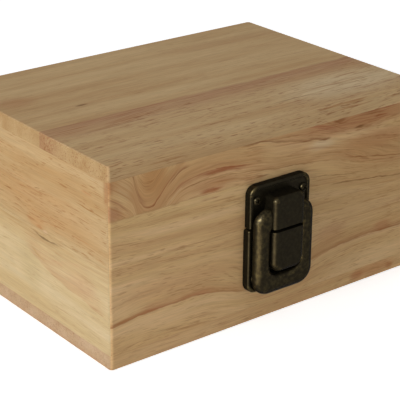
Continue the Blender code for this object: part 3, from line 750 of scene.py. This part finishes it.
def makePlate(name, node, roundSide, seamSide, blockEnd, blockStart, blockCorner):
    # A plate with a raised rim and a block on it. Its rounded side, its side at the seam and the block's two
    # ends, the rounded one first, are given as heights
    low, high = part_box(node)
    back = high.y
    front = back - plate["thick"]
    halfWidth = high.x
    casting = addCube(name, (-halfWidth, front, low.z), (halfWidth, back, high.z))
    roundEdges(casting, lambda edge: runsAlong(edge, yAxis) and inPlane(edge, zAxis, roundSide),
               plate["corner"], 10)
    pick(casting, "FACE", lambda face: face.normal.y < -0.9)
    bpy.ops.mesh.inset(thickness=plate["rim"], use_even_offset=True)
    bpy.ops.mesh.inset(thickness=plate["slope"], depth=-plate["sink"], use_even_offset=True)
    leaveEditMode()

    def outerEdge(edge):
        if runsAlong(edge, yAxis):
            return inPlane(edge, zAxis, seamSide) and abs(abs(edge.verts[0].co.x) - halfWidth) < touch
        return inPlane(edge, yAxis, front) and any(abs(face.normal.y) < 0.1 for face in edge.link_faces)

    def fieldEdge(edge):
        # Where the rim starts to slope down to the sunk field
        field = front + plate["sink"] - touch
        return inPlane(edge, yAxis, front) and any(
            0.1 < abs(face.normal.y) < 0.9 and max(vert.co.y for vert in face.verts) > field
            for face in edge.link_faces)

    roundEdges(casting, outerEdge, plate["edgeRound"], 5)
    roundEdges(casting, fieldEdge, plate["softEdge"], 3)

    halfBlock = block["width"] / 2
    lowZ, highZ = sorted((blockStart, blockEnd))
    raised = addCube(name + "Block", (-halfBlock, low.y, lowZ), (halfBlock, front + plate["thick"] / 2, highZ))
    roundEdges(raised, lambda edge: runsAlong(edge, yAxis) and inPlane(edge, zAxis, blockEnd),
               blockCorner, 8)
    roundEdges(raised, lambda edge: inPlane(edge, yAxis, low.y) and not inPlane(edge, zAxis, blockStart),
               block["edgeRound"], 10)
    roundEdges(raised, lambda edge: inPlane(edge, yAxis, low.y) and inPlane(edge, zAxis, blockStart),
               block["seamRound"], 3)
    cutOrJoin(casting, raised, "UNION")
    return casting


def finishCasting(piece, bodyName, node, flatArea=2.5 * mm * mm, stepAngle=16, handled=0.0):
    shade(piece)
    markWear(piece, math.radians(stepAngle), flatArea, handled)
    fit(piece, bodyName, node, bronzeMaterial)


upperLow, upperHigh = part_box("latch_upper_plate")
lowerLow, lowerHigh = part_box("latch_lower_plate")
upperPlate = makePlate("latchHoodPlate", "latch_upper_plate", upperHigh.z, upperLow.z,
                       block["hoodTop"], upperLow.z, block["hoodCorner"])
boreTool = addRod("hoodBore", (ringLow.x, ringAxis.y, ringAxis.z), (ringHigh.x, ringAxis.y, ringAxis.z),
                  hoodBore, roundSides)
cutOrJoin(upperPlate, boreTool, "DIFFERENCE")
finishCasting(upperPlate, "lid", "latch_upper_plate")
lowerPlate = makePlate("latchKeeperPlate", "latch_lower_plate", lowerLow.z, lowerHigh.z,
                       block["keeperFoot"], block["keeperTop"], block["keeperCorner"])
finishCasting(lowerPlate, "base", "latch_lower_plate")

ring = {
    "opening": 20.2 * mm,
    "footBand": 10.2 * mm,
    "topBand": 8.5 * mm,
    "topCorner": 8.2 * mm,
    "footCorner": 9.0 * mm,
    "innerCorner": 5.5 * mm,
    "outerRound": 4.0 * mm,
    "innerRound": 2.4 * mm,
    "backRound": 1.3 * mm,
    "slopeStart": 8.0 * mm,     # below the axis, where the back starts to slope away so that the ring can swing
    "slope": 11.5,              # degrees
    "rod": 1.9 * mm,            # radius
    "rodSeat": 0.3 * mm,
    "flatArea": 6 * mm * mm,    # for markWear
    "handled": 0.3,
}


def makeRing():
    # A heavy band with a nearly half-round front. The hood hides the rod that bridges its top
    loop = addCube("latchFlipRing", ringLow, ringHigh)
    for height, corner in ((ringHigh.z, ring["topCorner"]), (ringLow.z, ring["footCorner"])):
        roundEdges(loop, lambda edge: runsAlong(edge, yAxis) and inPlane(edge, zAxis, height), corner, 14)
    half = ring["opening"] / 2
    opening = addCube("ringOpening", (-half, ringLow.y - mm, ringLow.z + ring["footBand"]),
                      (half, ringHigh.y + mm, ringHigh.z - ring["topBand"]))
    roundEdges(opening, lambda edge: runsAlong(edge, yAxis), ring["innerCorner"], 10)
    cutOrJoin(loop, opening, "DIFFERENCE")
    middle = Vector((0, 0, (ringLow.z + ringHigh.z) / 2))

    def onRim(edge, facing, outer):
        # An edge between a side and the front (facing -1) or the back (facing 1).
        # An outer side looks away from the middle
        normals = [face.normal for face in edge.link_faces]
        sides = [normal for normal in normals if abs(normal.y) < 0.5]
        if len(sides) != 1 or max(normal.y * facing for normal in normals) < 0.5:
            return False
        away = (edge.verts[0].co + edge.verts[1].co) / 2 - middle
        return (sides[0].x * away.x + sides[0].z * away.z > 0) == outer

    for facing, outer, radius, steps in (
        (-1, True, ring["outerRound"], 10), (-1, False, ring["innerRound"], 10),
        (1, True, ring["backRound"], 4), (1, False, ring["backRound"], 4),
    ):
        roundEdges(loop, lambda edge: onRim(edge, facing, outer), radius, steps)
    wedge = addCube("ringSlope", (ringLow.x - mm, 0, -5 * mm), (ringHigh.x + mm, 10 * mm, 20 * mm))
    wedge.rotation_euler.x = math.radians(ring["slope"])
    wedge.location = (0, ringHigh.y, ringAxis.z - ring["slopeStart"])
    bpy.ops.object.transform_apply(location=True, rotation=True, scale=True)
    cutOrJoin(loop, wedge, "DIFFERENCE")
    gapHalf = half - 0.05 * mm
    gapFoot = ringHigh.z - ring["topBand"] - ring["innerCorner"] - mm
    gap = addCube("ringHoodGap", (-gapHalf, ringLow.y - mm, gapFoot),
                  (gapHalf, ringHigh.y + mm, ringHigh.z + mm))
    cutOrJoin(loop, gap, "DIFFERENCE")
    reach = gapHalf + ring["rodSeat"]
    rod = addRod("ringRod", (-reach, ringAxis.y, ringAxis.z), (reach, ringAxis.y, ringAxis.z),
                 ring["rod"], roundSides)
    cutOrJoin(loop, rod, "UNION")
    return loop


finishCasting(makeRing(), "latch_ring", "latch_ring", ring["flatArea"], handled=ring["handled"])
print("latch made")

# Screws with a cross recess in a domed head
screw = {
    "shank": 0.8 * mm,          # radius
    "tip": 2.0 * mm,
    "point": 0.12,              # share of the shank's radius
    "crossLength": 0.68,        # share of the head's radius
    "crossWidth": 0.26,         # share of its length
    "crossDepth": 0.70,         # shares of the head's height
    "dome": 0.75,
    "flatArea": 4 * mm * mm,    # for markWear
    "stepAngle": 60,
    "upper": (2.25 * mm, 1.6 * mm, 8.5 * mm),   # head radius, head height, length
    "lower": (2.1 * mm, 0.9 * mm, 8.5 * mm),
    "hinge": (1.7 * mm, 0.9 * mm, 6.5 * mm),
}


def makeScrewPattern(name, headRadius, headHeight, length):
    # Stands on its seat at the origin with its head up
    tipStart = screw["tip"] - length
    pattern = addRod(name, (0, 0, tipStart), (0, 0, headHeight), screw["shank"], 24)
    pick(pattern, "FACE", lambda face: inPlane(face, zAxis, tipStart))
    bpy.ops.mesh.extrude_region_move(TRANSFORM_OT_translate={"value": (0, 0, -screw["tip"])})
    bpy.ops.transform.resize(value=(screw["point"], screw["point"], 1), center_override=(0, 0, -length))
    leaveEditMode()
    head = addRod(name + "Head", (0, 0, 0), (0, 0, headHeight), headRadius, roundSides)
    roundEdges(head, lambda edge: inPlane(edge, zAxis, headHeight), headHeight * screw["dome"], 5)
    cutOrJoin(pattern, head, "UNION")
    for first, second in ((1, screw["crossWidth"]), (screw["crossWidth"], 1)):
        reach = headRadius * screw["crossLength"]
        arm = addCube(name + "Cross", (-reach * first, -reach * second, headHeight * (1 - screw["crossDepth"])),
                      (reach * first, reach * second, headHeight * 2))
        cutOrJoin(pattern, arm, "DIFFERENCE")
    return pattern


def addScrews(nodes, bodyNames, out, size, turns):
    # One pattern, copied to each node's place. Its head is as high as the frame's and reaches its seat
    pattern = makeScrewPattern("screwPattern", *size)
    tilt = Matrix.Rotation(-out * math.pi / 2, 4, "X")
    for node, bodyName, turn in zip(nodes, bodyNames, turns):
        low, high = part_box(node)
        headFront = high.y if out > 0 else low.y
        seat = Vector(((low.x + high.x) / 2, headFront - out * size[1], (low.z + high.z) / 2))
        copy = bpy.data.objects.new("screw" + node.title().replace("_", ""), pattern.data.copy())
        bpy.context.scene.collection.objects.link(copy)
        copy.data.transform(Matrix.Translation(seat) @ tilt @ Matrix.Rotation(math.radians(turn), 4, "Z"))
        finishCasting(copy, bodyName, node, screw["flatArea"], screw["stepAngle"])
    bpy.data.objects.remove(pattern)


addScrews(["latch_upper_screw_1", "latch_upper_screw_2"], ["lid", "lid"], -1, screw["upper"], (18, 52))
addScrews(["latch_lower_screw_1", "latch_lower_screw_2"], ["base", "base"], -1, screw["lower"], (35, 70))
hingeScrews = [f"hinge_{side}_{half}_screw_{i}"
               for side in ("left", "right") for half in ("base", "lid") for i in (1, 2)]
addScrews(hingeScrews, ["base", "base", "lid", "lid"] * 2, 1, screw["hinge"], (12, 64, 33, 80, 5, 47, 71, 26))
print("screws made")

# Butt hinges on the back
lidAxis = joints["lid_hinge"]
hinge = {
    "thick": 0.7 * mm,
    "setIn": 0.02 * mm,
    "corner": 2.0 * mm,
    "edge": 0.18 * mm,
    "gap": 0.3 * mm,
    "pin": 1.0 * mm,        # radius
    "hole": 1.1 * mm,       # radius
    "pinDome": 0.5 * mm,
}
hingeKnuckle = cadBounds[1].y - lidAxis.y


def onHingeAxis(x):
    return (x, lidAxis.y, lidAxis.z)


def makeLeaf(name, node, bodyName, side, screws):
    # side is -1 for the leaf on the base and 1 for the one on the lid
    low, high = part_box(node)
    left, right = low.x, high.x
    width = right - left
    end = low.z if side < 0 else high.z
    back = lidAxis.y - hingeKnuckle
    lowZ, highZ = sorted((end, lidAxis.z))
    leaf = addCube(name, (left, back + hinge["setIn"], lowZ), (right, back + hinge["thick"], highZ))
    roundEdges(leaf, lambda edge: runsAlong(edge, yAxis) and inPlane(edge, zAxis, end), hinge["corner"], 6)
    roundEdges(leaf, lambda edge: inPlane(edge, yAxis, back + hinge["thick"])
               and not inPlane(edge, zAxis, lidAxis.z), hinge["edge"], 2)
    # Three knuckles: the base's leaf has the outer two and the lid's leaf the middle one
    third = width / 3
    knuckles = {-1: ((left, left + third - hinge["gap"] / 2), (right - third + hinge["gap"] / 2, right)),
                1: ((left + third + hinge["gap"] / 2, right - third - hinge["gap"] / 2),)}
    reach = hingeKnuckle + hinge["gap"]
    for start, stop in knuckles[-side]:
        notch = addCube("notch", (start - hinge["gap"], back - mm, lidAxis.z - reach),
                        (stop + hinge["gap"], back + 4 * mm, lidAxis.z + reach))
        cutOrJoin(leaf, notch, "DIFFERENCE")
    for start, stop in knuckles[side]:
        knuckle = addRod("knuckle", onHingeAxis(start), onHingeAxis(stop), hingeKnuckle, roundSides)
        roundEdges(knuckle, lambda edge: inPlane(edge, xAxis, start) or inPlane(edge, xAxis, stop),
                   hinge["edge"], 2)
        cutOrJoin(leaf, knuckle, "UNION")
    pinHole = addRod("pinHole", onHingeAxis(left - mm), onHingeAxis(right + mm),
                     hinge["pin"] + hinge["gap"] / 3, roundSides)
    cutOrJoin(leaf, pinHole, "DIFFERENCE")
    for screwNode in screws:
        screwLow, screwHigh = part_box(screwNode)
        x, z = (screwLow.x + screwHigh.x) / 2, (screwLow.z + screwHigh.z) / 2
        screwHole = addRod("screwHole", (x, back - mm, z), (x, back + 2 * mm, z), hinge["hole"], 24)
        cutOrJoin(leaf, screwHole, "DIFFERENCE")
    finishCasting(leaf, bodyName, node)


for side in ("left", "right"):
    for half, direction in (("base", -1), ("lid", 1)):
        makeLeaf(f"{side}HingeLeaf{half.title()}", f"hinge_{side}_{half}_leaf", half, direction,
                 [f"hinge_{side}_{half}_screw_{i}" for i in (1, 2)])
    pinLow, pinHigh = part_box(f"hinge_{side}_pin")
    pin = addRod(side + "HingePin", onHingeAxis(pinLow.x), onHingeAxis(pinHigh.x), hinge["pin"], roundSides)
    roundEdges(pin, lambda edge: inPlane(edge, xAxis, pinLow.x) or inPlane(edge, xAxis, pinHigh.x),
               hinge["pinDome"], 5)
    finishCasting(pin, "base", f"hinge_{side}_pin")
print("hinges made")

# Camera, at the photograph's place
view = {
    "azimuth": -38.125,
    "elevation": 22.888,
    "roll": 0.385,
    "distance": 0.798,
    "target": (0.0086, 0, 0.0365),
    "lens": 133.14,
}
azimuth, elevation, roll = (math.radians(view[key]) for key in ("azimuth", "elevation", "roll"))
backward = Vector((math.sin(azimuth) * math.cos(elevation), -math.cos(azimuth) * math.cos(elevation),
                   math.sin(elevation)))
level = Vector((math.cos(azimuth), math.sin(azimuth), 0))
upright = backward.cross(level)
right = level * math.cos(roll) + upright * math.sin(roll)
above = upright * math.cos(roll) - level * math.sin(roll)
bpy.ops.object.camera_add()
camera = bpy.context.object
turned = Matrix((right, above, backward)).transposed().to_4x4()
camera.matrix_world = Matrix.Translation(Vector(view["target"]) + backward * view["distance"]) @ turned
camera.data.lens = view["lens"]
camera.data.sensor_width = 36
bpy.context.scene.camera = camera

# White surroundings, and a floor of matt white paper that shows the box's soft shadow
studio = {
    "skyLight": 0.45,
    "floorSize": 12,
    "floorWhite": 0.80,
    "floorGlow": 0.60,
}


def seenByCamera(tree):
    # 1 for what the camera sees, also in a mirror or through glass, and 0 for light on the object
    rays = addNode(tree, "LightPath", {}).outputs
    seen = addNode(tree, "Math", largest, rays["Is Camera Ray"], rays["Is Glossy Ray"])
    return addNode(tree, "Math", largest, seen, rays["Is Transmission Ray"])


world = bpy.data.worlds.new("studio")
bpy.context.scene.world = world
world.use_nodes = True
tree = world.node_tree
strength = addNode(tree, "MapRange", {}, seenByCamera(tree), 0.0, 1.0, studio["skyLight"], 1.0)
tree.nodes["Background"].inputs["Color"].default_value = (1, 1, 1, 1)
tree.links.new(strength.outputs[0], tree.nodes["Background"].inputs["Strength"])

bpy.ops.object.select_all(action="DESELECT")
bpy.ops.mesh.primitive_plane_add(size=studio["floorSize"], location=(0, 0, 0))
floor = settle("studioFloor")
floorMaterial, tree, shader = newMaterial("whitePaperFloor", 0.9)
white = studio["floorWhite"]
shader.inputs["Base Color"].default_value = (white, white, white, 1)
glow = addNode(tree, "Math", multiply, seenByCamera(tree), studio["floorGlow"])
glow = addNode(tree, "Emission", {}, (1, 1, 1, 1), glow)
both = addNode(tree, "AddShader", {}, shader, glow)
tree.links.new(both.outputs[0], tree.nodes["Material Output"].inputs["Surface"])
floor.data.materials.append(floorMaterial)

# A soft lamp at the left, and two small ones that show only in gloss: a warm strip beside the box, the table's
# glow that the bronze's upright edges mirror, and the bright spot of a window in its rounded corners
lamps = [
    {"power": 9.0, "place": (-1.20, -0.22, 0.38), "aim": (0, 0, 0.05), "size": (0.40, 0.40), "turn": 0,
     "colour": "FFFFFF", "onlyGloss": False},
    {"power": 0.31, "place": (-0.100, -0.147, 0.003), "aim": (-0.100, -0.147, 1), "size": (0.12, 0.08),
     "turn": 33, "colour": "FFF0D2", "onlyGloss": True},
    {"power": 20.0, "place": (-0.70, -0.51, 0.46), "aim": (0, -0.08, 0.05), "size": (0.10, 0.10), "turn": 0,
     "colour": "FFFFFF", "onlyGloss": True},
]
for lamp in lamps:
    place = Vector(lamp["place"])
    facing = (place - Vector(lamp["aim"])).to_track_quat("Z", "Y").to_matrix().to_4x4()
    turned = Matrix.Rotation(math.radians(-lamp["turn"]), 4, "Z")
    bpy.ops.object.light_add(type="AREA", location=place)
    light = bpy.context.object
    light.matrix_world = Matrix.Translation(place) @ facing @ turned
    light.data.shape = "RECTANGLE"
    light.data.size, light.data.size_y = lamp["size"]
    light.data.energy = lamp["power"]
    light.data.color = hexColour(lamp["colour"])[:3]
    light.visible_camera = light.visible_diffuse = not lamp["onlyGloss"]

bpy.context.scene.view_settings.view_transform = "Standard"
print("scene ready")
